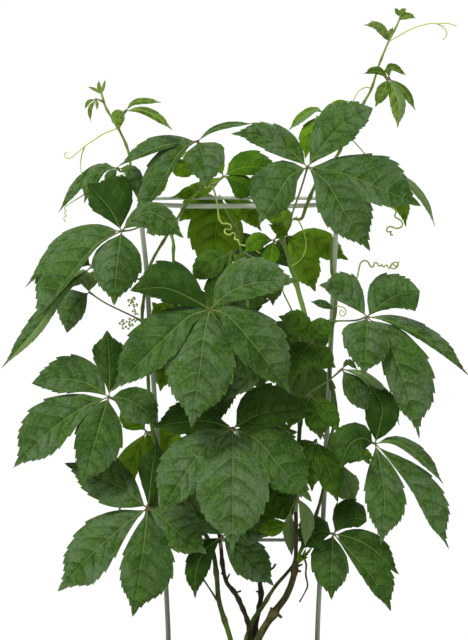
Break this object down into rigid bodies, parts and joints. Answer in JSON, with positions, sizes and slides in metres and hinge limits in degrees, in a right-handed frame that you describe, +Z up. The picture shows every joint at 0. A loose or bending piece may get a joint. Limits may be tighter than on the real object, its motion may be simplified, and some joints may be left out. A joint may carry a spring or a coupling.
{
  "type": "potted chestnut vine",
  "caption": "Climbing vine with toothed palmate leaves on a slim plastic rod trellis, standing in a plain round pot filled with soil.",
  "frame": {"origin": "centre of the pot's underside, on the surface that the pot stands on", "axes": "+Z up along the pot's axis, the front of the plant faces -Y and the trellis runs along X"},
  "size_m": [0.4606, 0.2085, 0.8055],
  "materials": {
    "pot_plastic": "satin",
    "soil": "rough",
    "trellis_plastic": "satin",
    "green_stem": "satin",
    "woody_stem": "rough",
    "young_growth": "satin",
    "leaf": "satin",
    "leaf_light": "satin"
  },
  "bodies": {
    "root": {"pot": "pot_plastic", "soil": "soil", "trellis_leg_left": "trellis_plastic", "trellis_leg_right": "trellis_plastic", "trellis_top_bar_front": "trellis_plastic", "trellis_top_bar_back": "trellis_plastic", "trellis_low_bar": "trellis_plastic", "stem_green_left": "green_stem", "stem_woody_left": "woody_stem", "stem_dark_middle": "woody_stem", "stem_green_right": "green_stem", "stem_woody_right": "woody_stem", "shoot_left": "young_growth", "shoot_right": "young_growth", "leaf_front_upper": "leaf", "leaf_front_lower": "leaf", "leaf_left_middle": "leaf", "leaf_left_low": "leaf", "leaf_right_middle": "leaf", "leaf_right_low": "leaf", "leaf_right_base": "leaf", "leaf_right_top": "leaf", "leaf_right_top_behind": "leaf_light", "leaf_right_top_outer": "leaf_light", "leaf_left_upper": "leaf", "leaf_left_drooping": "leaf", "leaf_left_crown": "leaf", "leaf_left_outer": "leaf", "leaf_left_small": "leaf", "leaf_shoot_right": "young_growth", "leaf_shoot_left": "young_growth", "leaf_shoot_left_small": "young_growth", "leaf_back_crown": "leaf_light", "leaf_back_large": "leaf_light", "leaf_inner_olive": "leaf", "leaf_inner_small": "leaf_light", "leaf_back_right": "leaf_light", "leaf_back_left": "leaf_light", "leaf_inner_right": "leaf", "leaf_inner_right_low": "leaf", "leaf_inner_low_right": "leaf", "leaf_hanging_right": "leaf", "leaf_back_right_low": "leaf_light", "leaf_hanging_middle": "leaf_light", "leaf_back_middle": "leaf", "leaf_low_middle": "leaf", "leaf_back_left_middle": "leaf_light", "leaf_back_left_upper": "leaf_light", "leaf_rear_upper": "leaf", "leaf_rear_lower": "leaf", "leaf_rear_right": "leaf", "leaf_rear_left": "leaf", "leaf_rear_top": "leaf"}
  },
  "joints": []
}
